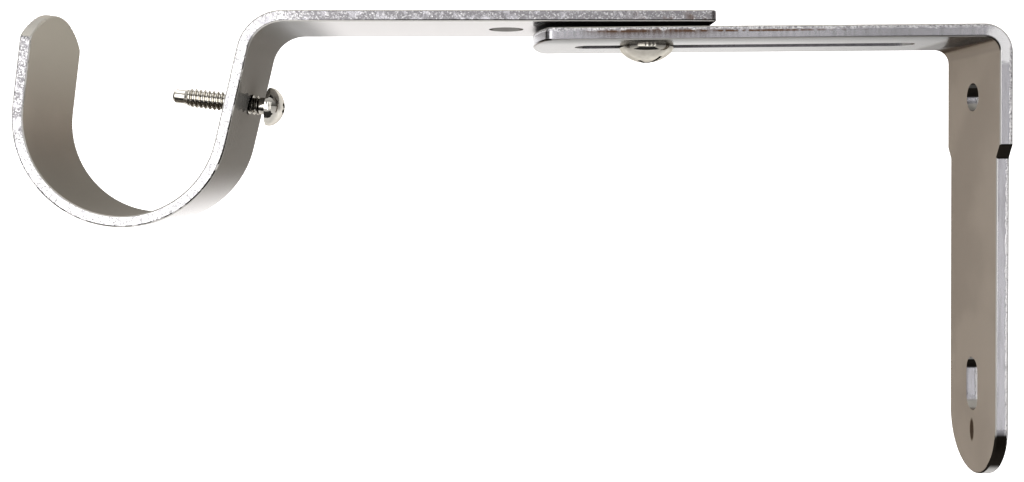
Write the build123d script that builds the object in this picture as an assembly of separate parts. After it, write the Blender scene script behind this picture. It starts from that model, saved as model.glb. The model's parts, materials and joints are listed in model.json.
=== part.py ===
from build123d import *
import os
from math import cos, radians, sin, tan

# Adjustable curtain pole bracket. A hook strip carries the pole and slides along the slotted arm of an
# L-shaped wall strip, where one screw locks it. A second screw, through the hook's back wall, holds the
# pole in its cup. Lengths are millimetres and angles are degrees. X points into the wall, whose face is
# X = 0, Y runs along the pole and Z points up. The origin is the centre of the upper wall hole, on the
# wall's face.

# Strip stock: both strips are sheared from flat steel, then bent and plated
strip_width = 23.0
hook_thickness = 2.0
wall_thickness = 2.3
edge_round = 0.35            # tumbled edge of the sheared strips

# Wall strip: the plate that is screwed to the wall, and the slotted arm
arm_above_hole = 12.0        # upper hole's centre to the arm's top face
arm_length = 82.3            # wall to the middle of the arm's free end
arm_end_rise = 2.1           # how far the arched free end stands out past its corners
arm_corner_radius = 1.5
wall_bend_radius = 2.7       # inside of the bend
plate_height = 80.7          # arm's top face to the plate's lower end
shoulder_drop = 21.0         # arm's top face to where the plate starts to narrow
shoulder_height = 2.1
shoulder_step = 1.4          # how much the plate narrows on each side
shoulder_round = 0.8
wall_hole_diameter = 5.1
wall_slot_length = 9.7
wall_slot_width = 4.8
wall_slot_from_end = 16.3    # slot's centre to the plate's lower end

# Slot in the arm, where the lock screw travels
slot_from_wall = 13.0        # wall to the slot's nearer end
slot_from_end = 7.6          # arm's free end to the slot's outer end
slot_clearance = 0.42        # each side of the lock screw
extension_left = 10.5        # how far the hook can still be pulled out, as the bracket is set

# Hook strip, measured from its lock hole, at the arm's underside
tail_length = 10.7           # lock hole to the tail's end
tail_corner_radius = 1.2
hole_pitch = 25.4            # lock hole to the spare tapped hole
hook_bend_radius = 6.2       # inside of the bend between the arm and the back wall
cup_radius = 16.5
cup_reach = 91.5             # lock hole to the cup's centre
cup_drop = 16.7              # arm's underside to the cup's centre
back_lean = 13.5             # back wall from upright
front_lean = 7.3             # front wall from upright
lip_length = 17.0            # front wall, from the cup to the top of the arched tip
tip_rise = 4.9               # how far the arched tip stands up past its corners
tip_corner_radius = 1.5
arm_gap = 0.8                # between the two arms at the lock screw, which is only finger tight
hook_tilt = 0.5              # the hook strip hangs this much lower at its tail

# Tapped holes: plain bores with a running clearance on the screws' plain shanks
thread_clearance = 0.08      # on the radius
countersink_width = 0.95     # bevel at the mouth of the arm's tapped holes

# Lock screw: truss head under the wall arm
lock_thread_diameter = 4.17
lock_screw_length = 6.35     # under the head
lock_head_diameter = 9.8
lock_head_height = 2.95
lock_head_rim = 0.65         # straight part of the head, under its dome
lock_end_chamfer = 0.5
lock_recess_span = 7.0
lock_recess_width = 0.9
lock_recess_depth = 1.5
lock_recess_turn = 42        # the recess's arms from the pole's direction

# Rod screw: pan head behind the hook's back wall, with a pilot point in the cup
rod_thread_diameter = 3.5
rod_screw_length = 17.0      # under the head
rod_neck_diameter = 3.1
rod_neck_length = 1.4
rod_pilot_diameter = 2.5
rod_pilot_length = 2.1
rod_pilot_chamfer = 0.4
rod_head_diameter = 6.9
rod_head_height = 3.0
rod_head_rim = 0.9
rod_recess_span = 3.6
rod_recess_width = 0.9
rod_recess_depth = 1.5
rod_recess_turn = 45         # the recess's arms from the pole's direction
rod_screw_rise = 7.6         # along the back wall, from the cup to the screw's axis
rod_screw_tilt = 6.7         # screw's axis from the arm's direction
rod_head_gap = 3.2           # along the axis, between the back wall and the head

# Places that follow from the sizes
arm_top = arm_above_hole
arm_underside = arm_top - wall_thickness
plate_end = arm_top - plate_height
slot_width = lock_thread_diameter + 2 * slot_clearance
slot_outer_end = -(arm_length - slot_from_end)
lock_x = slot_outer_end + slot_width / 2 + extension_left
hook_place = Location((lock_x, 0, arm_top + arm_gap), (0, hook_tilt, 0))


def arched_outline(width, rise, corner):
    """Flat end of a strip, with its arch's top at the origin and the strip running down -Y."""
    below = 2 * (rise + corner)
    arch = ThreePointArc((-width / 2, -rise), (0, 0), (width / 2, -rise))
    sides = Polyline((width / 2, -rise), (width / 2, -below), (-width / 2, -below), (-width / 2, -rise))
    outline = make_face(arch + sides)
    return fillet(outline.vertices().group_by(Axis.Y)[-1], corner)


def arched_end_cut(plane, width, rise, corner, thickness):
    """What is sheared off a square strip end, at the plane of its arch, to leave an arched one."""
    depth = rise + corner
    blank = Rectangle(2 * width, 2 * depth)
    return extrude(plane * (blank - arched_outline(width, rise, corner)), thickness, both=True)


def bent_strip(path, thickness):
    """Square-ended strip of the stock's width along a mid-line path, which is drawn as X and Z."""
    section = Sketch() + trace(path, thickness)
    return extrude(Plane.XZ * section, strip_width / 2, both=True)


def tumbled(strip, path, thickness):
    """Strip with the edges round its two broad faces rounded, as tumbling leaves a sheared blank."""
    rims = ShapeList()
    for face in strip.faces():
        centre = face.center()
        off_mid_line = path.distance_to(Vector(centre.X, centre.Z))
        if abs(face.normal_at(centre).Y) < 0.5 and off_mid_line > thickness / 4:
            rims += face.outer_wire().edges()
    outer_rims = [edge for edge in rims if sum(edge.is_same(other) for other in rims) == 1]
    return fillet(outer_rims, min(edge_round, thickness / 3))


def plate_outline():
    """Wall plate seen along X: full width at the bend, shouldered to a narrower, round-ended lower part."""
    wide = strip_width / 2
    narrow = wide - shoulder_step
    shoulder_top = arm_top - shoulder_drop
    shoulder_foot = shoulder_top - shoulder_height
    end_centre = plate_end + narrow
    left = Polyline((-narrow, end_centre), (-narrow, shoulder_foot), (-wide, shoulder_top), (-wide, arm_top))
    right = Polyline((wide, arm_top), (wide, shoulder_top), (narrow, shoulder_foot), (narrow, end_centre))
    top = Line((-wide, arm_top), (wide, arm_top))
    end = ThreePointArc((narrow, end_centre), (0, plate_end), (-narrow, end_centre))
    outline = make_face(left + top + right + end)
    by_height = outline.vertices().group_by(Axis.Y)
    return fillet(by_height[1] + by_height[2], shoulder_round)


def make_wall_arm():
    """L-shaped wall strip: bent, trimmed to its outline, tumbled, then pierced."""
    middle = wall_thickness / 2
    bend = wall_bend_radius + middle
    free_end = (-arm_length, arm_top - middle)
    arm_line = Line(free_end, (-middle - bend, arm_top - middle))
    bend_arc = JernArc(arm_line @ 1, (1, 0), bend, -90)
    plate_line = Line(bend_arc @ 1, (-middle, plate_end))
    path = arm_line + bend_arc + plate_line
    strip = bent_strip(path, wall_thickness)

    end_plane = Plane((-arm_length, 0, arm_top - middle), x_dir=(0, 1, 0), z_dir=(0, 0, 1))
    strip -= arched_end_cut(end_plane, strip_width, arm_end_rise, arm_corner_radius, wall_thickness)
    plate_blank = Pos(0, arm_top - plate_height / 2) * Rectangle(2 * strip_width, plate_height)
    plate_side = Plane.YZ * (plate_blank - plate_outline())
    strip -= extrude(plate_side, -2 * wall_thickness)
    strip = tumbled(strip, path, wall_thickness)

    hole = Circle(wall_hole_diameter / 2)
    wall_slot = SlotOverall(wall_slot_length, wall_slot_width, rotation=90)
    wall_slot = Pos(0, plate_end + wall_slot_from_end) * wall_slot
    strip -= extrude(Plane.YZ * (hole + wall_slot), -2 * wall_thickness)

    slot_length = -slot_from_wall - slot_outer_end
    slot_plane = Plane((slot_outer_end + slot_length / 2, 0, arm_top))
    strip -= extrude(slot_plane * SlotOverall(slot_length, slot_width), -2 * wall_thickness)
    return strip


# Hook strip's mid-line, drawn in its own frame: the lock hole is x = 0 and the arm's underside is y = 0
hook_middle = hook_thickness / 2
cup_mid_radius = cup_radius + hook_middle
hook_bend = hook_bend_radius + hook_middle
cup_centre = Vector(-cup_reach, -cup_drop)
front_up = Vector(sin(radians(front_lean)), cos(radians(front_lean)))
front_out = Vector(-front_up.Y, front_up.X)
back_up = Vector(sin(radians(back_lean)), cos(radians(back_lean)))
back_out = Vector(back_up.Y, -back_up.X)
front_foot = cup_centre + front_out * cup_mid_radius
front_tip = front_foot + front_up * lip_length
back_foot = cup_centre + back_out * cup_mid_radius
back_turn = 90 - back_lean
back_rise = (hook_middle - back_foot.Y) / back_up.Y
back_length = back_rise - hook_bend * tan(radians(back_turn / 2))
back_top = back_foot + back_up * back_length

# Rod screw's axis in the same frame: it points into the cup and crosses the back wall's mid-line
rod_axis = Vector(-cos(radians(rod_screw_tilt)), sin(radians(rod_screw_tilt)))
rod_crossing = back_foot + back_up * rod_screw_rise
rod_seat_distance = hook_middle / cos(radians(back_lean - rod_screw_tilt)) + rod_head_gap
rod_seat = rod_crossing - rod_axis * rod_seat_distance


def across_hook(point, direction):
    """Plane at a point of the hook's drawing, facing along a direction of it."""
    return Plane((point.X, 0, point.Y), x_dir=(0, 1, 0), z_dir=(direction.X, 0, direction.Y))


def tapped_hole(x):
    """Lock screw's tapped hole through the hook's arm, bevelled where the screw enters."""
    radius = lock_thread_diameter / 2 + thread_clearance
    upwards = (Align.CENTER, Align.CENTER, Align.MIN)
    bore = Cylinder(radius, 2 * hook_thickness, align=upwards)
    mouth = Cone(radius + countersink_width, radius, countersink_width, align=upwards)
    return Pos(x, 0, 0) * (bore + mouth)


def make_hook_arm():
    """Hook strip: arm, back wall, cup and front wall bent from one length, tumbled, then drilled."""
    front_line = Line(front_tip, front_foot)
    cup_arc = JernArc(front_foot, -front_up, cup_mid_radius, 180 + front_lean - back_lean)
    back_line = Line(back_foot, back_top)
    bend_arc = JernArc(back_top, back_up, hook_bend, -back_turn)
    arm_line = Line(bend_arc @ 1, (tail_length, hook_middle))
    path = front_line + cup_arc + back_line + bend_arc + arm_line
    strip = bent_strip(path, hook_thickness)

    tip_plane = across_hook(front_tip, -front_out)
    strip -= arched_end_cut(tip_plane, strip_width, tip_rise, tip_corner_radius, hook_thickness)
    tail_corners = strip.edges().filter_by(Axis.Z).group_by(Axis.X)[-1]
    strip = fillet(tail_corners, tail_corner_radius)
    strip = tumbled(strip, path, hook_thickness)

    strip -= tapped_hole(0) + tapped_hole(-hole_pitch)
    rod_hole = Circle(rod_thread_diameter / 2 + thread_clearance)
    strip -= extrude(across_hook(rod_seat, rod_axis) * rod_hole, rod_screw_length)
    return hook_place * strip


def cross_recess(span, width, depth, turn, head_height):
    """Cross recess sunk into the outer end of a head that hangs below z = 0."""
    cross = Rectangle(span, width) + Rectangle(width, span)
    return Pos(0, 0, -head_height) * Rot(0, 0, turn) * extrude(cross, depth)


def domed_head(diameter, height, rim):
    """Half outline of a domed head that hangs below y = 0, from the axis round to the top of its rim."""
    radius = diameter / 2
    dome = TangentArc((0, -height), (radius, -rim), tangent=(1, 0))
    return dome + Line((radius, -rim), (radius, 0))


def make_lock_screw():
    """Truss-head screw, head against the wall arm's underside and shank up through the slot."""
    radius = lock_thread_diameter / 2
    tip = radius - lock_end_chamfer
    head = domed_head(lock_head_diameter, lock_head_height, lock_head_rim)
    shank = Polyline(
        (0, -lock_head_height), (0, lock_screw_length), (tip, lock_screw_length),
        (radius, lock_screw_length - lock_end_chamfer), (radius, 0), (lock_head_diameter / 2, 0),
    )
    body = revolve(Plane.XZ * make_face(head + shank), Axis.Z)
    body -= cross_recess(
        lock_recess_span, lock_recess_width, lock_recess_depth, lock_recess_turn, lock_head_height
    )
    return Pos(lock_x, 0, arm_underside) * body


def make_rod_screw():
    """Pan-head screw, head behind the back wall and pilot point in the cup."""
    radius = rod_thread_diameter / 2
    neck = rod_neck_diameter / 2
    pilot = rod_pilot_diameter / 2
    thread_end = rod_screw_length - rod_pilot_length
    head = domed_head(rod_head_diameter, rod_head_height, rod_head_rim)
    shank = Polyline(
        (0, -rod_head_height), (0, rod_screw_length), (pilot - rod_pilot_chamfer, rod_screw_length),
        (pilot, rod_screw_length - rod_pilot_chamfer), (pilot, thread_end),
        (radius, thread_end - (radius - pilot)), (radius, rod_neck_length + radius - neck),
        (neck, rod_neck_length), (neck, 0), (rod_head_diameter / 2, 0),
    )
    body = revolve(Plane.XZ * make_face(head + shank), Axis.Z)
    body -= cross_recess(
        rod_recess_span, rod_recess_width, rod_recess_depth, rod_recess_turn, rod_head_height
    )
    return hook_place * (across_hook(rod_seat, rod_axis) * body)


nodes = {
    "wall_arm": make_wall_arm(),
    "hook_arm": make_hook_arm(),
    "lock_screw": make_lock_screw(),
    "rod_screw": make_rod_screw(),
}
os.makedirs("parts", exist_ok=True)
for name, solid in nodes.items():
    export_step(solid, f"parts/{name}.step")
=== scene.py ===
import bpy
import json
from math import atan2, cos, hypot, pi, radians, sin
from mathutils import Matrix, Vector


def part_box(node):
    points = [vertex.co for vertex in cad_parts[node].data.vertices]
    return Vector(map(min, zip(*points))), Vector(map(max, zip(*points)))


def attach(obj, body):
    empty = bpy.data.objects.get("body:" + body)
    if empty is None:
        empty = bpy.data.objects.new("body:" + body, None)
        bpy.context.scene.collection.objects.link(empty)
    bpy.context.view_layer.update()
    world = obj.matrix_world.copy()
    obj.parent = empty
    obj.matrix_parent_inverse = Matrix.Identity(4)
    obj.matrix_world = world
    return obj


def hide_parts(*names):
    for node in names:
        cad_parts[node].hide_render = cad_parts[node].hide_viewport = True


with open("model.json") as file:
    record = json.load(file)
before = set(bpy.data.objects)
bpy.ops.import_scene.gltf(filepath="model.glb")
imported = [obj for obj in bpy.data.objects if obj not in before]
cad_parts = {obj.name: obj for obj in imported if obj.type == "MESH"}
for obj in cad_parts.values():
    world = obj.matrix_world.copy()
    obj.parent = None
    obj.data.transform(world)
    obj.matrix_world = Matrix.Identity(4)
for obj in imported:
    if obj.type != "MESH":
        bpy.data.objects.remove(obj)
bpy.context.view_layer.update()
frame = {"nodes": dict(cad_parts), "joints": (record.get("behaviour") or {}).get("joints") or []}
mm = 0.001

# Wall strip
# Cold-rolled steel strip, sheared to length, pierced with a hole and two slots, bent once and plated with
# satin nickel. It is screwed to the wall through its plate, and its slotted arm carries everything else.
wall_strip = frame["nodes"]["wall_arm"]
wall_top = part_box("wall_arm")[1].z


def link_node(tree, kind, **sockets):
    """Adds a shader node and sets its inputs, named in full or by an i and a number. A socket of another node
    is linked, anything else is a value."""
    node = tree.nodes.new(kind)
    for name, value in sockets.items():
        socket = node.inputs[int(name[1:])] if name[0] == "i" and name[1:].isdigit() else node.inputs[name]
        if isinstance(value, bpy.types.NodeSocket):
            tree.links.new(value, socket)
        else:
            socket.default_value = value
    return node


def new_material(name):
    """Empty node material with its surface shader, which is returned beside the tree."""
    material = bpy.data.materials.new(name)
    material.use_nodes = True
    tree = material.node_tree
    return material, tree, tree.nodes["Principled BSDF"]


def arithmetic(tree, operation, first, second=0.0):
    """Result of a sum on one or two values."""
    node = link_node(tree, "ShaderNodeMath", i0=first, i1=second)
    node.operation = operation
    return node.outputs[0]


def ramp_between(tree, value, low, high, to_low=0.0, to_high=1.0):
    """Value that goes smoothly from one number to another as its source crosses a band."""
    node = link_node(tree, "ShaderNodeMapRange", Value=value)
    node.interpolation_type = "SMOOTHSTEP"
    node.inputs["From Min"].default_value = low
    node.inputs["From Max"].default_value = high
    node.inputs["To Min"].default_value = to_low
    node.inputs["To Max"].default_value = to_high
    return node.outputs["Result"]


def stretched_noise(tree, place, stretch, scale, detail=2.0, roughness=0.5):
    """Noise whose spots are drawn out along some axes."""
    mapping = link_node(tree, "ShaderNodeMapping", Vector=place, Scale=stretch)
    noise = link_node(
        tree, "ShaderNodeTexNoise", Vector=mapping.outputs[0], Scale=scale, Detail=detail, Roughness=roughness
    )
    return noise.outputs["Fac"]


def mixed_colour(tree, share, first, second):
    """Colour between two colours."""
    node = tree.nodes.new("ShaderNodeMix")
    node.data_type = "RGBA"
    for socket, value in ((node.inputs[0], share), (node.inputs[6], first), (node.inputs[7], second)):
        if isinstance(value, bpy.types.NodeSocket):
            tree.links.new(value, socket)
        else:
            socket.default_value = value
    return node.outputs[2]


def blended(tree, share, first, second):
    """Number between two numbers."""
    node = link_node(tree, "ShaderNodeMix", i0=share, i2=first, i3=second)
    return node.outputs[0]


def painted_shade_share(tree, shade_free_openness):
    """Share of painted shade in hollows and where two pieces nearly touch, where shade falls: none where a
    spot is at least as open as the given openness."""
    reach = 2.4 * mm
    blackest = 0.12
    cavity = link_node(tree, "ShaderNodeAmbientOcclusion", Distance=reach)
    cavity.samples = 8
    return ramp_between(tree, cavity.outputs["AO"], blackest, shade_free_openness, 1.0, 0.0)


# Near-black colour of the painted shade in hollows and narrow gaps.
painted_shade_colour = (0.012, 0.010, 0.008, 1)


def faces_down(tree, facing):
    """Where a surface faces down, be it a little."""
    return ramp_between(tree, facing["Z"], -0.14, -0.05, 1.0, 0.0)


def lower_rims(tree, facing, steepest):
    """Rims and round ends that face outwards and down, up to a steepest slope: where a dark reflection is
    painted.
    """
    fade = 0.07
    sideways = ramp_between(tree, arithmetic(tree, "ABSOLUTE", facing["Y"]), 0.42, 0.50)
    not_under = ramp_between(tree, facing["Z"], -steepest - fade, -steepest + fade)
    outwards = arithmetic(tree, "MULTIPLY", sideways, faces_down(tree, facing))
    return arithmetic(tree, "MULTIPLY", outwards, not_under)


def satin_nickel(
    name, rim_highlight_colour, tone, cut_ends, broken_band, shine, stain, dark_reflection_and_shade, underside_reflection_tint, shade_free_openness,
    under_arm=None, edge_highlight=None, hollow_shade=None, mirror=None
):
    """Satin nickel on sheared strip: rolling grain and cloudy plating on the faces, and sheared edges that
    are burnished over part of the thickness and broken to grains over the rest. Painted light lies over it: a
    painted reflection on the undersides, a painted highlight on the upper rims, a painted dark reflection on
    the lower rims, and painted shade in hollows, in narrow gaps and in the broad faces' grazing reflection.
    The functions say where on the strip each finish and each painted light lies."""
    plate_colour = (0.246, 0.215, 0.184, 1)
    cloud_colour = (0.219, 0.191, 0.164, 1)
    # Painted shade for the inside of the cup.
    hollow_shade_colour = (0.160, 0.146, 0.124, 1)
    # Undersides get a painted reflection: fully metallic, with a bright edge tint.
    underside_reflection_colour = (0.225, 0.216, 0.207, 1)
    burnished_colour = (0.290, 0.283, 0.298, 1)
    shear_mark_colour = (0.245, 0.238, 0.250, 1)
    grain_light = (0.60, 0.59, 0.59, 1)
    grain_dark = (0.150, 0.144, 0.151, 1)
    upper_rim_highlight_colour = (0.300, 0.285, 0.255, 1)
    stain_colour = (0.085, 0.048, 0.030, 1)
    # Painted shade in reflection: the broad faces' grazing reflection is darkened.
    grazing_shade_tint = (0.28, 0.27, 0.26, 1)
    polished_tint = (1, 1, 1, 1)
    # Painted shade also darkens the reflection in hollows and narrow gaps.
    painted_shade_tint = (0, 0, 0, 1)
    broad_metal = 0.60
    hollow_metal = 0.12
    rim_metal = 0.30
    hollow_roughness = 0.26
    mirror_roughness = 0.05
    underside_roughness = 0.16
    burnished_roughness = 0.25
    broken_roughness = 0.36
    painted_shade_roughness = 0.70
    broad_roughness_range = (0.12, 0.18)
    grain_depth = 0.02 * mm
    broken_depth = 0.10 * mm
    sheared_slope = (0.86, 0.98)
    rim_slope = (0.25, 0.50)
    upper_rim_slope = (0.15, 0.40)
    underside_slope = (-0.90, -0.40)
    cloud_density = 55
    speckle_density = 3900
    speckle_stretch = (1, 0.3, 1)
    shear_mark_density = 1500
    shear_mark_stretch = (1, 0.05, 0.12)
    grain_density = 3200
    grain_stretch = (0.02, 1, 0.02)
    material, tree, shader = new_material(name)
    coordinates = tree.nodes.new("ShaderNodeTexCoord")
    place = coordinates.outputs["Object"]
    spot = link_node(tree, "ShaderNodeSeparateXYZ", Vector=place).outputs
    facing = link_node(tree, "ShaderNodeSeparateXYZ", Vector=coordinates.outputs["Normal"]).outputs

    sideways = arithmetic(tree, "ABSOLUTE", facing["Y"])
    sheared = ramp_between(tree, sideways, *sheared_slope)
    sheared = arithmetic(tree, "MAXIMUM", sheared, cut_ends(tree, spot, facing))
    rims = ramp_between(tree, sideways, *rim_slope)
    # Painted reflection on the undersides: they are made fully metallic with a bright edge tint.
    underside_reflection = ramp_between(tree, facing["Z"], *underside_slope, 1.0, 0.0)
    if under_arm:
        underside_reflection = arithmetic(tree, "MULTIPLY", underside_reflection, under_arm(tree, spot))
    # Painted shade: hollows, narrow gaps, dark rims and hole walls are darkened in colour and in reflection.
    painted_shade = arithmetic(tree, "MAXIMUM", painted_shade_share(tree, shade_free_openness), dark_reflection_and_shade(tree, spot, facing, place))
    tint = mixed_colour(tree, underside_reflection, grazing_shade_tint, underside_reflection_tint(tree, spot))
    tint = mixed_colour(tree, arithmetic(tree, "MAXIMUM", sheared, rims), tint, polished_tint)
    tree.links.new(mixed_colour(tree, painted_shade, tint, painted_shade_tint), shader.inputs["Specular Tint"])
    shader.inputs["Specular IOR Level"].default_value = 0.0
    metal = broad_metal

    clouds = stretched_noise(tree, place, (1, 1, 1), cloud_density, 3)
    broad = mixed_colour(tree, ramp_between(tree, clouds, 0.4, 0.62), plate_colour, cloud_colour)
    broad_roughness = ramp_between(tree, clouds, 0.3, 0.7, *broad_roughness_range)
    # Painted shade inside the cup.
    if hollow_shade:
        inside = hollow_shade(tree, spot, facing)
        metal = ramp_between(tree, inside, 0.0, 1.0, broad_metal, hollow_metal)
        broad_roughness = blended(tree, inside, broad_roughness, hollow_roughness)
        broad = mixed_colour(tree, inside, broad, hollow_shade_colour)
    if mirror:
        broad_roughness = blended(tree, mirror(tree, spot, facing), broad_roughness, mirror_roughness)
    metal = blended(tree, rims, blended(tree, underside_reflection, metal, 1.0), rim_metal)
    tree.links.new(blended(tree, sheared, metal, 1.0), shader.inputs["Metallic"])
    broad = mixed_colour(tree, underside_reflection, broad, underside_reflection_colour)
    broad = tone(tree, spot, facing, broad)
    # Rims that face sideways and up get a pale painted highlight.
    upper = ramp_between(tree, facing["Z"], *upper_rim_slope)
    rim = mixed_colour(tree, upper, rim_highlight_colour, upper_rim_highlight_colour)
    broad = mixed_colour(tree, rims, broad, rim)
    speckle = stretched_noise(tree, place, speckle_stretch, speckle_density, 2, 0.6)
    speckle = arithmetic(tree, "ADD", speckle, shine(tree, spot))
    marks = stretched_noise(tree, place, shear_mark_stretch, shear_mark_density, 2)
    burnished = mixed_colour(tree, ramp_between(tree, marks, 0.4, 0.7), burnished_colour, shear_mark_colour)
    stained = arithmetic(tree, "MULTIPLY", stain(tree, spot, place), marks)
    burnished = mixed_colour(tree, stained, burnished, stain_colour)
    # Painted highlight on the edges round the outside of a bend.
    if edge_highlight:
        burnished = mixed_colour(tree, edge_highlight(tree, spot, place), burnished, grain_light)
    grains = mixed_colour(tree, ramp_between(tree, speckle, 0.42, 0.70), grain_dark, grain_light)
    broken = broken_band(tree, spot, place)
    edge = mixed_colour(tree, broken, burnished, grains)
    colour = mixed_colour(tree, sheared, broad, edge)
    tree.links.new(mixed_colour(tree, painted_shade, colour, painted_shade_colour), shader.inputs["Base Color"])

    grain = stretched_noise(tree, place, grain_stretch, grain_density, 2)
    edge_roughness = blended(tree, broken, burnished_roughness, broken_roughness)
    broad_roughness = blended(tree, underside_reflection, broad_roughness, underside_roughness)
    roughness = blended(tree, sheared, broad_roughness, edge_roughness)
    tree.links.new(blended(tree, painted_shade, roughness, painted_shade_roughness), shader.inputs["Roughness"])
    grain_bump = link_node(tree, "ShaderNodeBump", Strength=0.10, Distance=grain_depth, Height=grain)
    edge_height = arithmetic(tree, "MULTIPLY", arithmetic(tree, "MULTIPLY", speckle, sheared), broken)
    edge_bump = link_node(
        tree, "ShaderNodeBump", Strength=0.8, Distance=broken_depth, Height=edge_height,
        Normal=grain_bump.outputs[0],
    )
    tree.links.new(edge_bump.outputs[0], shader.inputs["Normal"])
    return material


def patch_spread(tree, across, half_width, along, middle, half_length):
    """Squared distance from the middle of an oval patch: 1 at its rim."""
    first = arithmetic(tree, "DIVIDE", across, half_width)
    second = arithmetic(tree, "DIVIDE", arithmetic(tree, "SUBTRACT", along, middle), half_length)
    second_squared = arithmetic(tree, "POWER", second, 2.0)
    return arithmetic(tree, "ADD", arithmetic(tree, "POWER", first, 2.0), second_squared)


def wall_tone(tree, spot, facing, colour):
    """Painted light on the wall strip's faces: painted shade in the inner bend, darkest above where a dark
    reflection is painted, and a dark spindle-shaped mark under the slot.
    """
    bend_start = (-10 * mm, -8 * mm)
    bend_shade_colour = (0.200, 0.174, 0.150, 1)
    upper_bend_reflection_colour = (0.090, 0.079, 0.070, 1)
    dark_mark_colour = (0.035, 0.028, 0.020, 1)
    dark_mark_middle = -60.9 * mm
    dark_mark_half_length = 2.3 * mm
    dark_mark_half_width = 0.95 * mm
    # Painted shade in the inner bend, with a painted dark reflection at its upper end.
    turned = ramp_between(tree, arithmetic(tree, "MULTIPLY", facing["X"], facing["Z"]), 0.03, 0.25)
    bend_shade = arithmetic(tree, "MULTIPLY", turned, faces_down(tree, facing))
    # A small dark spindle-shaped mark on the plate's face under the slot.
    spread = patch_spread(tree, spot["Y"], dark_mark_half_width, spot["Z"], dark_mark_middle, dark_mark_half_length)
    on_face = ramp_between(tree, facing["X"], -0.9, -0.6, 1.0, 0.0)
    dark_mark = arithmetic(tree, "MULTIPLY", ramp_between(tree, spread, 0.45, 1.1, 0.85, 0.0), on_face)
    upper_bend_reflection = ramp_between(tree, facing["Z"], -0.84, -0.66, 1.0, 0.0)
    upper_bend_reflection = arithmetic(tree, "MULTIPLY", upper_bend_reflection, ramp_between(tree, spot["X"], *bend_start))
    colour = mixed_colour(tree, bend_shade, colour, bend_shade_colour)
    colour = mixed_colour(tree, upper_bend_reflection, colour, upper_bend_reflection_colour)
    return mixed_colour(tree, dark_mark, colour, dark_mark_colour)


def wall_underside_reflection(tree, spot):
    """Painted reflection under the wall strip's arm: bright at its end, darker towards its bend and along one
    side.
    """
    bright_tint = (0.62, 0.61, 0.60, 1)
    bend_tint = (0.22, 0.215, 0.21, 1)
    side_tint = (0.12, 0.12, 0.12, 1)
    dulling_stretch = (-55 * mm, 8 * mm)
    dull_side = (-11.5 * mm, -3 * mm)
    towards_bend = ramp_between(tree, spot["X"], *dulling_stretch)
    at_side = ramp_between(tree, spot["Y"], *dull_side, 0.70, 0.0)
    return mixed_colour(tree, at_side, mixed_colour(tree, towards_bend, bright_tint, bend_tint), side_tint)


def wall_under_arm(tree, spot):
    """Where the wall strip's underside gets its painted reflection: along its arm, as far as its bend."""
    plate_end = (2 * mm, 5 * mm)
    bend_start = (-10.5 * mm, -8 * mm)
    above_plate = ramp_between(tree, spot["Z"], *plate_end)
    before_bend = ramp_between(tree, spot["X"], *bend_start, 1.0, 0.0)
    return arithmetic(tree, "MULTIPLY", above_plate, before_bend)


def wall_bend_edge_highlight(tree, spot, place):
    """Painted highlight on the wall strip's edges round the outside of its bend: pale, mottled metal."""
    reach = 4.6 * mm
    inset = 0.5 * mm
    middle_height = 9.3 * mm
    mottle_density = 500
    mottle_depth = 0.8
    outside = arithmetic(tree, "ADD", spot["X"], inset)
    spread = patch_spread(tree, outside, reach, spot["Z"], middle_height, reach)
    mottle = stretched_noise(tree, place, (1, 0.2, 1), mottle_density, 2)
    spread = arithmetic(tree, "ADD", spread, arithmetic(tree, "MULTIPLY", mottle, mottle_depth))
    return ramp_between(tree, spread, 0.9, 1.5, 0.70, 0.0)


def wall_cut_ends(tree, spot, facing):
    """Sheared end of the wall strip's arm."""
    arm_end = (-77 * mm, -76 * mm)
    upright = ramp_between(tree, arithmetic(tree, "ABSOLUTE", facing["Z"]), 0.45, 0.7, 1.0, 0.0)
    return arithmetic(tree, "MULTIPLY", upright, ramp_between(tree, spot["X"], *arm_end, 1.0, 0.0))


def wall_broken_band(tree, spot, place):
    """Broken part of the wall strip's sheared edges: a ragged band along the outside of its bend."""
    band_width = 0.75 * mm
    ragged = 0.9 * mm
    wander_density = 700
    under_top = arithmetic(tree, "SUBTRACT", wall_top, spot["Z"])
    behind_wall = arithmetic(tree, "MULTIPLY", spot["X"], -1.0)
    depth = arithmetic(tree, "MINIMUM", under_top, behind_wall)
    wander = stretched_noise(tree, place, (1, 0.2, 1), wander_density, 3)
    shift = arithmetic(tree, "MULTIPLY", arithmetic(tree, "SUBTRACT", wander, 0.5), ragged)
    return ramp_between(tree, arithmetic(tree, "ADD", depth, shift), 0.6 * band_width, band_width, 1.0, 0.0)


def wall_shine(tree, spot):
    """How much paler the broken grains are on the plate's edges than on the arm's."""
    paling_stretch = (-30 * mm, 6 * mm)
    return ramp_between(tree, spot["Z"], *paling_stretch, 0.20, 0.06)


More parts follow.
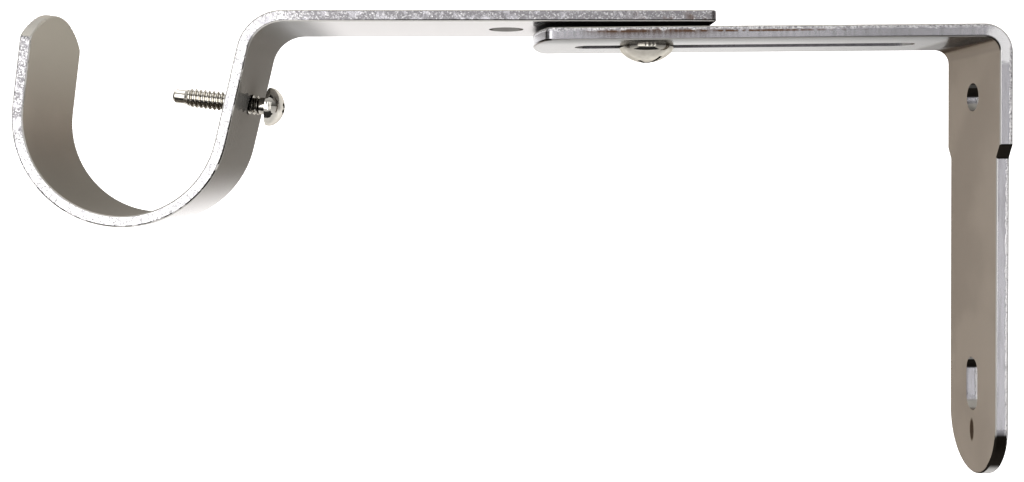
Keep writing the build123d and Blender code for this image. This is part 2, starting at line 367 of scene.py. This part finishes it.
def wall_stain(tree, spot, place):
    """Brown stain on the upper half of the wall strip's edges beside the lock screw, with a row of dashes."""
    dash_height = 11.12 * mm
    dash_half_height = (0.10 * mm, 0.24 * mm)
    dash_density = 800
    dash_end = (-48 * mm, -20 * mm)
    stain_start = (-76 * mm, -68 * mm)
    stain_end = (-58 * mm, -46 * mm)
    upper_half = (10.2 * mm, 11.2 * mm)
    begins = ramp_between(tree, spot["X"], *stain_start)
    ends = ramp_between(tree, spot["X"], *stain_end, 1.5, 0.0)
    upper = ramp_between(tree, spot["Z"], *upper_half, 0.2, 1.0)
    patch = arithmetic(tree, "MULTIPLY", arithmetic(tree, "MULTIPLY", begins, ends), upper)
    off_row = arithmetic(tree, "ABSOLUTE", arithmetic(tree, "SUBTRACT", spot["Z"], dash_height))
    row = ramp_between(tree, off_row, *dash_half_height, 2.4, 0.0)
    dashes = stretched_noise(tree, place, (1, 0.2, 0.2), dash_density, 1)
    dashes = ramp_between(tree, dashes, 0.40, 0.52)
    along = arithmetic(tree, "MULTIPLY", begins, ramp_between(tree, spot["X"], *dash_end, 1.0, 0.0))
    row = arithmetic(tree, "MULTIPLY", arithmetic(tree, "MULTIPLY", row, dashes), along)
    return arithmetic(tree, "MAXIMUM", patch, row)


def wall_dark_reflection_and_shade(tree, spot, facing, place):
    """Painted dark reflection and shade on the wall strip: its lower rims at the shoulders, round end and
    inner bend, a trace under its arm that grows towards the bend, and painted shade on the upper side of its
    round hole."""
    hole_reach = 3.4 * mm
    trace_stretch = (-60 * mm, -10 * mm)
    plate_end = (3 * mm, 8 * mm)
    trace = ramp_between(tree, spot["X"], *trace_stretch, 0.10, 0.70)
    where = blended(tree, ramp_between(tree, spot["Z"], *plate_end), 1.0, trace)
    rims = arithmetic(tree, "MULTIPLY", lower_rims(tree, facing, 0.75), where)
    turned = ramp_between(tree, arithmetic(tree, "MULTIPLY", facing["X"], facing["Z"]), 0.04, 0.12)
    outwards = ramp_between(tree, arithmetic(tree, "ABSOLUTE", facing["Y"]), 0.12, 0.28)
    bend_rim = arithmetic(tree, "MULTIPLY", turned, outwards)
    spread = patch_spread(tree, spot["Y"], hole_reach, spot["Z"], 0.0, hole_reach)
    hole_top = ramp_between(tree, facing["Z"], -0.50, -0.30, 0.80, 0.0)
    in_hole = arithmetic(tree, "MULTIPLY", hole_top, ramp_between(tree, spread, 0.9, 1.0, 1.0, 0.0))
    bend_rim = arithmetic(tree, "MULTIPLY", bend_rim, faces_down(tree, facing))
    return arithmetic(tree, "MAXIMUM", rims, arithmetic(tree, "MAXIMUM", bend_rim, in_hole))


# Pale painted highlight on the wall strip's rims.
wall_rim_highlight_colour = (0.300, 0.292, 0.280, 1)
wall_strip.material_slots[0].material = satin_nickel(
    "satin_nickel_wall_strip", wall_rim_highlight_colour, wall_tone, wall_cut_ends, wall_broken_band, wall_shine,
    wall_stain, wall_dark_reflection_and_shade, wall_underside_reflection, shade_free_openness=0.55, under_arm=wall_under_arm,
    edge_highlight=wall_bend_edge_highlight,
)

# Lock screw
# Truss-head machine screw, cold headed and thread rolled from steel wire, with a cross recess and a bright
# plate. It goes up through the wall strip's slot into the hook strip's tapped hole, and its head bears on the
# wall strip.
lock_low, lock_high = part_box("lock_screw")
lock_place = (lock_low + lock_high) / 2
lock_head_radius = (lock_high.x - lock_low.x) / 2
lock_head_height = 2.95 * mm
lock_head_rim = 0.65 * mm
lock_thread_radius = 2.085 * mm
lock_thread_depth = 0.44 * mm
lock_pitch = 0.794 * mm
lock_shank = 6.35 * mm
lock_end_chamfer = 0.5 * mm
lock_recess_span = 7.0 * mm
lock_recess_width = 0.9 * mm
lock_recess_core = 1.4 * mm
lock_recess_depth = 1.6 * mm
lock_recess_turn = radians(42)
lock_recess_tapers = (0.35, 0.95)
lock_head_rounding = 0.55 * mm
tolerance = 0.01 * mm


def pick(piece, kind, test):
    """Opens a piece for editing with those of its vertices, edges or faces selected that pass a test."""
    bpy.ops.object.select_all(action="DESELECT")
    bpy.context.view_layer.objects.active = piece
    piece.select_set(True)
    bpy.ops.object.mode_set(mode="EDIT")
    bpy.ops.mesh.select_mode(type=kind)
    bpy.ops.mesh.select_all(action="DESELECT")
    bpy.ops.object.mode_set(mode="OBJECT")
    parts = {"VERT": piece.data.vertices, "EDGE": piece.data.edges, "FACE": piece.data.polygons}[kind]
    for part in parts:
        part.select = test(part)
    bpy.ops.object.mode_set(mode="EDIT")


def apply_boolean(body, tool, operation):
    """Cuts or joins a tool with a body, and removes the tool."""
    bpy.ops.object.select_all(action="DESELECT")
    bpy.context.view_layer.objects.active = body
    body.select_set(True)
    modifier = body.modifiers.new("cut", "BOOLEAN")
    modifier.operation = operation
    modifier.object = tool
    modifier.solver = "EXACT"
    bpy.ops.object.modifier_apply(modifier=modifier.name)
    bpy.data.objects.remove(tool)


def domed_head(name, radius, height, rim, rounding):
    """Screw head under z = 0: a turned disc whose outer face is inset and drawn down in steps to a dome."""
    steps = 9
    sides = 72
    rounding_steps = 8
    bpy.ops.object.select_all(action="DESELECT")
    bpy.ops.mesh.primitive_cylinder_add(vertices=sides, radius=radius, depth=rim, location=(0, 0, -rim / 2))
    head = bpy.context.object
    head.name = name
    bpy.ops.object.transform_apply(location=True)
    dome = height - rim
    sphere = (radius**2 + dome**2) / (2 * dome)
    top_angle = atan2(radius, sphere - dome)
    pick(head, "FACE", lambda face: face.normal.z < -0.9)
    for step in range(1, steps):
        before = top_angle * (1 - (step - 1) / steps)
        after = top_angle * (1 - step / steps)
        bpy.ops.mesh.inset(thickness=sphere * (sin(before) - sin(after)))
        bpy.ops.transform.translate(value=(0, 0, -sphere * (cos(after) - cos(before))))
    bpy.ops.object.mode_set(mode="OBJECT")
    level = [v for v in head.data.vertices if abs(v.co.z + rim) < tolerance]
    corner = [v.index for v in level if v.co.xy.length > 0.99 * radius]
    pick(head, "EDGE", lambda edge: all(index in corner for index in edge.vertices))
    bpy.ops.mesh.bevel(offset=rounding, segments=rounding_steps)
    bpy.ops.object.mode_set(mode="OBJECT")
    return head


def cut_cross_recess(head, height, span, width, core, depth, turn, tapers):
    """Cross recess in the outer end of a head: two slots at right angles, each with its own share of its span
    left at its floor, and a conical middle."""
    floor_width_share = 0.7
    core_sides = 32
    core_floor_share = 0.4
    core_depth = 0.9 * depth
    for quarter, taper in zip((0, pi / 2), tapers):
        bpy.ops.object.select_all(action="DESELECT")
        bpy.ops.mesh.primitive_cube_add(size=1, location=(0, 0, -height))
        slot = bpy.context.object
        slot.scale = (span, width, 2 * depth)
        bpy.ops.object.transform_apply(location=True, scale=True)
        pick(slot, "FACE", lambda face: face.normal.z > 0.9)
        bpy.ops.transform.resize(value=(taper, floor_width_share, 1), center_override=(0, 0, -height + depth))
        bpy.ops.object.mode_set(mode="OBJECT")
        slot.rotation_euler = (0, 0, turn + quarter)
        bpy.ops.object.transform_apply(rotation=True)
        apply_boolean(head, slot, "DIFFERENCE")
    bpy.ops.object.select_all(action="DESELECT")
    bpy.ops.mesh.primitive_cone_add(
        vertices=core_sides, radius1=core, radius2=core_floor_share * core, depth=2 * core_depth,
        location=(0, 0, -height),
    )
    apply_boolean(head, bpy.context.object, "DIFFERENCE")


def is_upright(mesh, edge):
    """Whether an edge runs along z."""
    first, second = (mesh.vertices[index].co for index in edge.vertices)
    return hypot(first.x - second.x, first.y - second.y) < 1e-3 * abs(first.z - second.z)


def threaded_shank(name, radius, thread_depth, pitch, length, turned_radius):
    """Rolled thread up from just inside the head: a cam-shaped section is extruded, cut into rings, twisted a
    turn for each pitch, and turned down where the blank is thinner."""
    columns = 40
    rings_per_pitch = 26
    first_cuts = 24
    flank_slope = 1.45
    crest_share = 0.14
    buried = 0.3 * mm
    bpy.ops.object.select_all(action="DESELECT")
    bpy.ops.mesh.primitive_circle_add(vertices=columns, radius=radius, fill_type="NGON")
    shank = bpy.context.object
    shank.name = name
    for column in range(columns):
        from_crest = abs(column / columns - 0.5) * 2
        flank = min(max(flank_slope * from_crest - crest_share, 0), 1)
        shrink = 1 - flank * thread_depth / radius
        pick(shank, "VERT", lambda vertex: vertex.index == column)
        bpy.ops.transform.resize(value=(shrink, shrink, 1), center_override=(0, 0, 0))
        bpy.ops.object.mode_set(mode="OBJECT")
    pick(shank, "FACE", lambda face: True)
    bpy.ops.transform.translate(value=(0, 0, -buried))
    bpy.ops.mesh.extrude_region_move(TRANSFORM_OT_translate={"value": (0, 0, length + buried)})
    rings = (length + buried) / pitch * rings_per_pitch
    for cuts in (first_cuts, round(rings / (first_cuts + 1))):
        bpy.ops.object.mode_set(mode="OBJECT")
        pick(shank, "EDGE", lambda edge: is_upright(shank.data, edge))
        bpy.ops.mesh.subdivide(number_cuts=cuts)
    bpy.ops.object.mode_set(mode="OBJECT")
    for vertex in shank.data.vertices:
        low, high = turned_radius(vertex.co.z)
        reach = min(max(hypot(vertex.co.x, vertex.co.y), low), high)
        angle = atan2(vertex.co.y, vertex.co.x) + 2 * pi * vertex.co.z / pitch
        vertex.co.x = reach * cos(angle)
        vertex.co.y = reach * sin(angle)
    bpy.ops.object.mode_set(mode="EDIT")
    bpy.ops.mesh.select_all(action="SELECT")
    bpy.ops.mesh.normals_make_consistent(inside=False)
    bpy.ops.object.mode_set(mode="OBJECT")
    return shank


def smooth_by_angle(piece, angle):
    """Smooth shading, with creases kept where faces meet at more than an angle."""
    bpy.ops.object.select_all(action="DESELECT")
    bpy.context.view_layer.objects.active = piece
    piece.select_set(True)
    bpy.ops.object.shade_smooth_by_angle(angle=radians(angle))


def bright_plate(name, bright_colour, dull_colour, shade_free_openness):
    """Bright nickel plate on a cold-headed screw: nearly a mirror, with fine marks and painted shade in
    hollows and where it nearly touches another piece.
    """
    sheen_tint = (0.55, 0.53, 0.50, 1)
    roughness_range = (0.04, 0.11)
    cloud_density = 420
    mark_density = 1500
    mark_depth = 0.02 * mm
    material, tree, shader = new_material(name)
    shader.inputs["Metallic"].default_value = 1.0
    shader.inputs["Specular Tint"].default_value = sheen_tint
    place = tree.nodes.new("ShaderNodeTexCoord").outputs["Object"]
    clouds = stretched_noise(tree, place, (1, 1, 1), cloud_density, 3)
    colour = mixed_colour(tree, ramp_between(tree, clouds, 0.35, 0.7), bright_colour, dull_colour)
    # Painted shade in the recess and where the head nearly touches the strip.
    colour = mixed_colour(tree, painted_shade_share(tree, shade_free_openness), colour, painted_shade_colour)
    tree.links.new(colour, shader.inputs["Base Color"])
    roughness = ramp_between(tree, clouds, 0.3, 0.7, *roughness_range)
    tree.links.new(roughness, shader.inputs["Roughness"])
    marks = stretched_noise(tree, place, (1, 1, 1), mark_density, 2)
    bump = link_node(tree, "ShaderNodeBump", Strength=0.12, Distance=mark_depth, Height=marks)
    tree.links.new(bump.outputs[0], shader.inputs["Normal"])
    return material


def lock_blank(height):
    """Least and greatest radius of the lock screw's shank at a height: chamfered at its end."""
    return 0, min(lock_thread_radius, lock_thread_radius + lock_shank - height - lock_end_chamfer)


lock_screw = domed_head(
    "lock_screw_bright", lock_head_radius, lock_head_height, lock_head_rim, lock_head_rounding
)
cut_cross_recess(
    lock_screw, lock_head_height, lock_recess_span, lock_recess_width, lock_recess_core, lock_recess_depth,
    lock_recess_turn, lock_recess_tapers,
)
lock_thread = threaded_shank(
    "lock_thread", lock_thread_radius, lock_thread_depth, lock_pitch, lock_shank, lock_blank
)
apply_boolean(lock_screw, lock_thread, "UNION")
lock_screw.location = (lock_place.x, lock_place.y, lock_high.z - lock_shank)
bpy.ops.object.transform_apply(location=True)
smooth_by_angle(lock_screw, 35)
lock_screw.data.materials.clear()
lock_bright_colour = (0.43, 0.41, 0.365, 1)
lock_dull_colour = (0.33, 0.31, 0.275, 1)
lock_screw.data.materials.append(
    bright_plate("bright_plate_lock_screw", lock_bright_colour, lock_dull_colour, shade_free_openness=0.95)
)
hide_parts("lock_screw")
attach(lock_screw, "lock")

# Hook strip
# Steel strip as wide as the wall strip and a little thinner, plated in the same way and bent to an arm, a
# leaning back wall, a round cup and a front wall with an arched tip. The lock screw holds its tapped arm on
# the wall strip's arm.
hook_strip = frame["nodes"]["hook_arm"]
tapped_hole_spacing = 25.4 * mm
spare_hole_place = lock_place.x - tapped_hole_spacing
spare_hole_reach = 3.3 * mm


def hook_back(tree, spot, facing):
    """Outer face of the back wall, where the rod screw mirrors itself."""
    cup_middle = (-152 * mm, -146 * mm)
    outwards = ramp_between(tree, facing["X"], 0.2, 0.6)
    return arithmetic(tree, "MULTIPLY", outwards, ramp_between(tree, spot["X"], *cup_middle))


def hook_tone(tree, spot, facing, colour):
    """Painted light on the hook strip's faces: painted light towards the tip, painted shade on the back
    wall's outer face and in the inner bend."""
    front_wall = (-161 * mm, -158 * mm)
    tip_stretch = (-8 * mm, 15 * mm)
    bend_height = (2 * mm, 6 * mm)
    tip_light_colour = (0.340, 0.316, 0.271, 1)
    back_shade_colour = (0.232, 0.222, 0.205, 1)
    bend_shade_colour = (0.215, 0.206, 0.192, 1)
    on_front = ramp_between(tree, spot["X"], *front_wall, 1.0, 0.0)
    towards_tip = arithmetic(tree, "MULTIPLY", on_front, ramp_between(tree, spot["Z"], *tip_stretch))
    slant = arithmetic(tree, "MULTIPLY", facing["X"], facing["Z"])
    turned = ramp_between(tree, slant, -0.35, -0.10, 1.0, 0.0)
    inner_bend = arithmetic(tree, "MULTIPLY", turned, faces_down(tree, facing))
    in_bend = arithmetic(tree, "MULTIPLY", inner_bend, ramp_between(tree, spot["Z"], *bend_height))
    colour = mixed_colour(tree, towards_tip, colour, tip_light_colour)
    colour = mixed_colour(tree, hook_back(tree, spot, facing), colour, back_shade_colour)
    return mixed_colour(tree, in_bend, colour, bend_shade_colour)


def hook_underside_reflection(tree, spot):
    """Painted reflection under the hook strip: bright, but darker beside the bend of its arm."""
    bright_tint = (0.79, 0.77, 0.765, 1)
    bend_tint = (0.29, 0.285, 0.28, 1)
    bend_end = (-124 * mm, -116 * mm)
    arm_height = (0, 5 * mm)
    beside_bend = ramp_between(tree, spot["X"], *bend_end, 1.0, 0.0)
    on_arm = ramp_between(tree, spot["Z"], *arm_height)
    return mixed_colour(tree, arithmetic(tree, "MULTIPLY", beside_bend, on_arm), bright_tint, bend_tint)


def hook_hollow_shade(tree, spot, facing):
    """Inside of the cup, which gets painted shade: dark, rough and barely metallic."""
    cup_side = (-137 * mm, -134 * mm)
    in_cup = ramp_between(tree, spot["X"], *cup_side, 1.0, 0.0)
    return arithmetic(tree, "MULTIPLY", in_cup, ramp_between(tree, facing["Z"], -0.28, 0.85))


def hook_cut_ends(tree, spot, facing):
    """Sheared tail of the hook strip's arm."""
    tail_end = (-54 * mm, -53 * mm)
    upright = ramp_between(tree, arithmetic(tree, "ABSOLUTE", facing["Z"]), 0.45, 0.7, 1.0, 0.0)
    return arithmetic(tree, "MULTIPLY", upright, ramp_between(tree, spot["X"], *tail_end))


def hook_broken_band(tree, spot, place):
    """Broken part of the hook strip's sheared edges: nearly all of the thickness, in patches."""
    patch_density = 420
    patches = stretched_noise(tree, place, (1, 0.2, 1), patch_density, 3)
    return ramp_between(tree, patches, 0.36, 0.50)


def hook_stain(tree, spot, place):
    """Brown stain on the hook strip's edges over the lock screw."""
    stain_start = (-70 * mm, -60 * mm)
    return ramp_between(tree, spot["X"], *stain_start)


def hook_dark_reflection_and_shade(tree, spot, facing, place):
    """Painted dark reflection and shade on the hook strip: a line along the lower rims of its arm, dots round
    its cup, and painted shade on the walls of the spare hole.
    """
    edge_reach = (9.5 * mm, 10.5 * mm)
    arm_start = (-122 * mm, -98 * mm)
    cup_end = (-133 * mm, -128 * mm)
    dot_density = 620
    at_edges = ramp_between(tree, arithmetic(tree, "ABSOLUTE", spot["Y"]), *edge_reach)
    along_arm = ramp_between(tree, spot["X"], *arm_start)
    round_cup = ramp_between(tree, spot["X"], *cup_end, 1.0, 0.0)
    dots = stretched_noise(tree, place, (1, 0.2, 1), dot_density, 2)
    dots = ramp_between(tree, dots, 0.40, 0.50)
    where = arithmetic(tree, "MAXIMUM", along_arm, arithmetic(tree, "MULTIPLY", round_cup, dots))
    rims = arithmetic(tree, "MULTIPLY", lower_rims(tree, facing, 0.53), at_edges)
    rims = arithmetic(tree, "MULTIPLY", rims, where)
    spread = patch_spread(tree, spot["Y"], spare_hole_reach, spot["X"], spare_hole_place, spare_hole_reach)
    not_under = ramp_between(tree, facing["Z"], -0.95, -0.85)
    not_above = ramp_between(tree, facing["Z"], 0.3, 0.6, 1.0, 0.0)
    in_hole = arithmetic(tree, "MULTIPLY", ramp_between(tree, spread, 0.95, 1.0, 0.62, 0.0), not_under)
    return arithmetic(tree, "MAXIMUM", rims, arithmetic(tree, "MULTIPLY", in_hole, not_above))


def hook_shine(tree, spot):
    """How much paler the broken grains are on the hook than on its arm and front wall."""
    cup_end = (-132 * mm, -116 * mm)
    front_wall = (-158 * mm, -152 * mm)
    front_start = (-9 * mm, -4 * mm)
    in_cup = ramp_between(tree, spot["X"], *cup_end, 0.13, -0.07)
    on_front = ramp_between(tree, spot["X"], *front_wall, 0.13, 0.0)
    towards_tip = arithmetic(tree, "MULTIPLY", on_front, ramp_between(tree, spot["Z"], *front_start))
    return arithmetic(tree, "SUBTRACT", in_cup, towards_tip)


# Pale painted highlight on the hook strip's rims.
hook_rim_highlight_colour = (0.520, 0.505, 0.480, 1)
hook_strip.material_slots[0].material = satin_nickel(
    "satin_nickel_hook_strip", hook_rim_highlight_colour, hook_tone, hook_cut_ends, hook_broken_band, hook_shine,
    hook_stain, hook_dark_reflection_and_shade, hook_underside_reflection, shade_free_openness=0.70, hollow_shade=hook_hollow_shade, mirror=hook_back,
)

# Rod screw
# Pan-head machine screw with a plain pilot point, made and plated like the lock screw.
# It is turned through the tapped hole in the hook's back wall until its point holds the pole in the cup.
rod_node = frame["nodes"]["rod_screw"]
rod_axis = Vector(next(j["axis"] for j in frame["joints"] if j["name"] == "rod_screw_advance"))
rod_reach = [vertex.co.dot(rod_axis) for vertex in rod_node.data.vertices]
rod_end = [v.co for v, reach in zip(rod_node.data.vertices, rod_reach) if reach > max(rod_reach) - tolerance]
rod_tip = sum(rod_end, Vector()) / len(rod_end)
rod_shank = 17.0 * mm
rod_head_height = 3.0 * mm
rod_head_radius = 3.45 * mm
rod_head_rim = 0.9 * mm
rod_thread_radius = 1.75 * mm
rod_thread_depth = 0.43 * mm
rod_pitch = 0.794 * mm
rod_neck_radius = 1.5 * mm
rod_neck_length = 1.4 * mm
rod_pilot_radius = 1.25 * mm
rod_pilot_length = 2.1 * mm
rod_pilot_chamfer = 0.4 * mm
rod_recess_span = 3.6 * mm
rod_recess_width = 0.9 * mm
rod_recess_core = 1.1 * mm
rod_recess_depth = 1.5 * mm
rod_recess_turn = radians(45)
rod_recess_tapers = (0.35, 0.35)
rod_head_rounding = 0.42 * mm
rod_lead_slope = 0.4


def rod_blank(height):
    """Least and greatest radius of the rod screw's shank at a height: plain neck, thread, plain point."""
    from_end = rod_shank - height
    if height < rod_neck_length:
        return rod_neck_radius, rod_neck_radius
    if from_end < rod_pilot_length:
        return 0, min(rod_pilot_radius, rod_pilot_radius - rod_pilot_chamfer + from_end)
    lead_in = rod_pilot_radius + rod_lead_slope * (from_end - rod_pilot_length)
    return 0, min(rod_neck_radius + height - rod_neck_length, lead_in)


rod_screw = domed_head("rod_screw_bright", rod_head_radius, rod_head_height, rod_head_rim, rod_head_rounding)
cut_cross_recess(
    rod_screw, rod_head_height, rod_recess_span, rod_recess_width, rod_recess_core, rod_recess_depth,
    rod_recess_turn, rod_recess_tapers,
)
rod_thread = threaded_shank(
    "rod_thread", rod_thread_radius, rod_thread_depth, rod_pitch, rod_shank, rod_blank
)
apply_boolean(rod_screw, rod_thread, "UNION")
rod_screw.rotation_mode = "QUATERNION"
rod_screw.rotation_quaternion = rod_axis.to_track_quat("Z", "Y")
rod_screw.location = rod_tip - rod_axis * rod_shank
bpy.ops.object.transform_apply(location=True, rotation=True)
smooth_by_angle(rod_screw, 35)
rod_screw.data.materials.clear()
rod_bright_colour = (0.55, 0.525, 0.475, 1)
rod_dull_colour = (0.42, 0.40, 0.36, 1)
rod_screw.data.materials.append(
    bright_plate("bright_plate_rod_screw", rod_bright_colour, rod_dull_colour, shade_free_openness=0.88)
)
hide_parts("rod_screw")
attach(rod_screw, "pole_stop")

# Studio floor and backdrop
# One sheet of pale paper: flat under the bracket, curved up behind it. It glows with a painted emission,
# faint all over and brightest at the back, in place of a lamp of its own.
floor_height = -0.45
sweep_reach = 0.62
paper_middle = -0.09
paper_width = 20
paper_depth = 12
paper_rise = 1.6
sweep_radius = 0.12
paper_colour = (0.72, 0.715, 0.71, 1)
floor_glow = 0.15
back_glow = 0.75
back_glow_reach = 0.50
glow_fade = (0.45, 2.40)
edge_margin = 0.01
bpy.ops.object.select_all(action="DESELECT")
bpy.ops.mesh.primitive_plane_add(size=1, location=(0, 0, 0))
paper = bpy.context.object
paper.name = "paper_sweep"
paper.scale = (paper_width, paper_depth, 1)
paper.location = (paper_middle, sweep_reach - paper_depth / 2, floor_height)
bpy.ops.object.transform_apply(location=True, scale=True)
back_edge = [v.index for v in paper.data.vertices if v.co.y > sweep_reach - edge_margin]
pick(paper, "EDGE", lambda edge: all(i in back_edge for i in edge.vertices))
bpy.ops.mesh.extrude_region_move(TRANSFORM_OT_translate={"value": (0, 0, paper_rise)})
bpy.ops.object.mode_set(mode="OBJECT")
back_wall = [v for v in paper.data.vertices if v.co.y > sweep_reach - edge_margin]
fold = [v.index for v in back_wall if v.co.z < floor_height + edge_margin]
pick(paper, "EDGE", lambda edge: all(i in fold for i in edge.vertices))
bpy.ops.mesh.bevel(offset=sweep_radius, segments=16)
bpy.ops.object.mode_set(mode="OBJECT")
smooth_by_angle(paper, 40)
material, tree, shader = new_material("studio_paper")
shader.inputs["Base Color"].default_value = paper_colour
shader.inputs["Roughness"].default_value = 0.9
place = tree.nodes.new("ShaderNodeTexCoord").outputs["Object"]
spot = link_node(tree, "ShaderNodeSeparateXYZ", Vector=place).outputs
# Painted light: the paper glows faintly everywhere and strongly behind the bracket.
behind = ramp_between(tree, spot["Y"], 0.0, back_glow_reach, 0.0, back_glow)
off_middle = arithmetic(tree, "ABSOLUTE", arithmetic(tree, "SUBTRACT", spot["X"], paper_middle))
glow = arithmetic(tree, "MULTIPLY", behind, ramp_between(tree, off_middle, *glow_fade, 1.0, 0.0))
glow = arithmetic(tree, "ADD", glow, floor_glow)
shader.inputs["Emission Color"].default_value = (1, 1, 1, 1)
tree.links.new(glow, shader.inputs["Emission Strength"])
paper.data.materials.append(material)

# Studio light
# A room that is grey at the horizon and pale above, a large soft lamp on the hook's side, three upright strip
# lamps along the bracket, a lamp overhead, and a dark felt card in front and below that shows only in
# reflections.
horizon_colour = (0.11, 0.108, 0.105, 1)
ceiling_colour = (0.80, 0.80, 0.81, 1)
lamp_row = -0.62
key_across = -0.46
key_height = 0.06
key_aim_height = -0.10
key_size = (0.48, 0.52)
key_brightness = 4.4
strip_lamps = ((-0.11, 3.9), (0.10, 1.9), (0.30, 2.8))
strip_aim_height = -0.16
strip_size = (0.09, 0.58)
top_place = (-0.10, -0.10, 0.75)
top_target = (-0.09, 0, 0)
top_size = (0.7, 0.7)
top_brightness = 2.0
card_place = (-0.10, -0.20, -0.20)
card_size = (0.45, 0.28)
felt_colour = (0.01, 0.01, 0.01, 1)
world = bpy.data.worlds.new("grey_room")
bpy.context.scene.world = world
world.use_nodes = True
tree = world.node_tree
direction = tree.nodes.new("ShaderNodeTexCoord").outputs["Generated"]
direction = link_node(tree, "ShaderNodeSeparateXYZ", Vector=direction).outputs
upwards = ramp_between(tree, direction["Z"], -0.1, 0.8)
room_colour = mixed_colour(tree, upwards, horizon_colour, ceiling_colour)
tree.links.new(room_colour, tree.nodes["Background"].inputs["Color"])


def soft_lamp(name, place, target, size, brightness):
    """Soft lamp that faces a target, with the brightness of its face."""
    light = bpy.data.lights.new(name, "AREA")
    light.shape = "RECTANGLE"
    light.size, light.size_y = size
    light.energy = brightness * pi * light.size * light.size_y
    lamp = bpy.data.objects.new(name, light)
    bpy.context.scene.collection.objects.link(lamp)
    lamp.location = place
    lamp.rotation_euler = (Vector(target) - Vector(place)).to_track_quat("-Z", "Y").to_euler()
    lamp.visible_camera = False


key_place = (key_across, lamp_row, key_height)
soft_lamp("key_lamp", key_place, (key_across, 0, key_aim_height), key_size, key_brightness)
for number, (across, brightness) in enumerate(strip_lamps):
    strip_target = (across, 0, strip_aim_height)
    soft_lamp(f"strip_lamp_{number}", (across, lamp_row, 0), strip_target, strip_size, brightness)
soft_lamp("top_lamp", top_place, top_target, top_size, top_brightness)

bpy.ops.object.select_all(action="DESELECT")
bpy.ops.mesh.primitive_plane_add(size=1, location=card_place)
card = bpy.context.object
card.name = "low_card"
card.scale = (*card_size, 1)
card.visible_camera = False
card.visible_diffuse = False
card.visible_shadow = False
felt, tree, shader = new_material("dark_card_felt")
shader.inputs["Base Color"].default_value = felt_colour
shader.inputs["Roughness"].default_value = 1.0
card.data.materials.append(felt)

# Camera
# Fitted to the strips' edges: almost level, in front of the middle of the bracket, with a slight shift for
# the framing.
camera_data = bpy.data.cameras.new("camera")
camera = bpy.data.objects.new("camera", camera_data)
bpy.context.scene.collection.objects.link(camera)
camera.location = (-88.553 * mm, -207.212 * mm, -12.514 * mm)
camera.rotation_euler = (radians(88.1894), radians(0.5784), radians(-0.6199))
camera_data.sensor_width = 36
camera_data.lens = 40.08
camera_data.shift_y = -0.0335
camera_data.clip_start = 0.01
bpy.context.scene.camera = camera
bpy.context.scene.view_settings.view_transform = "Standard"
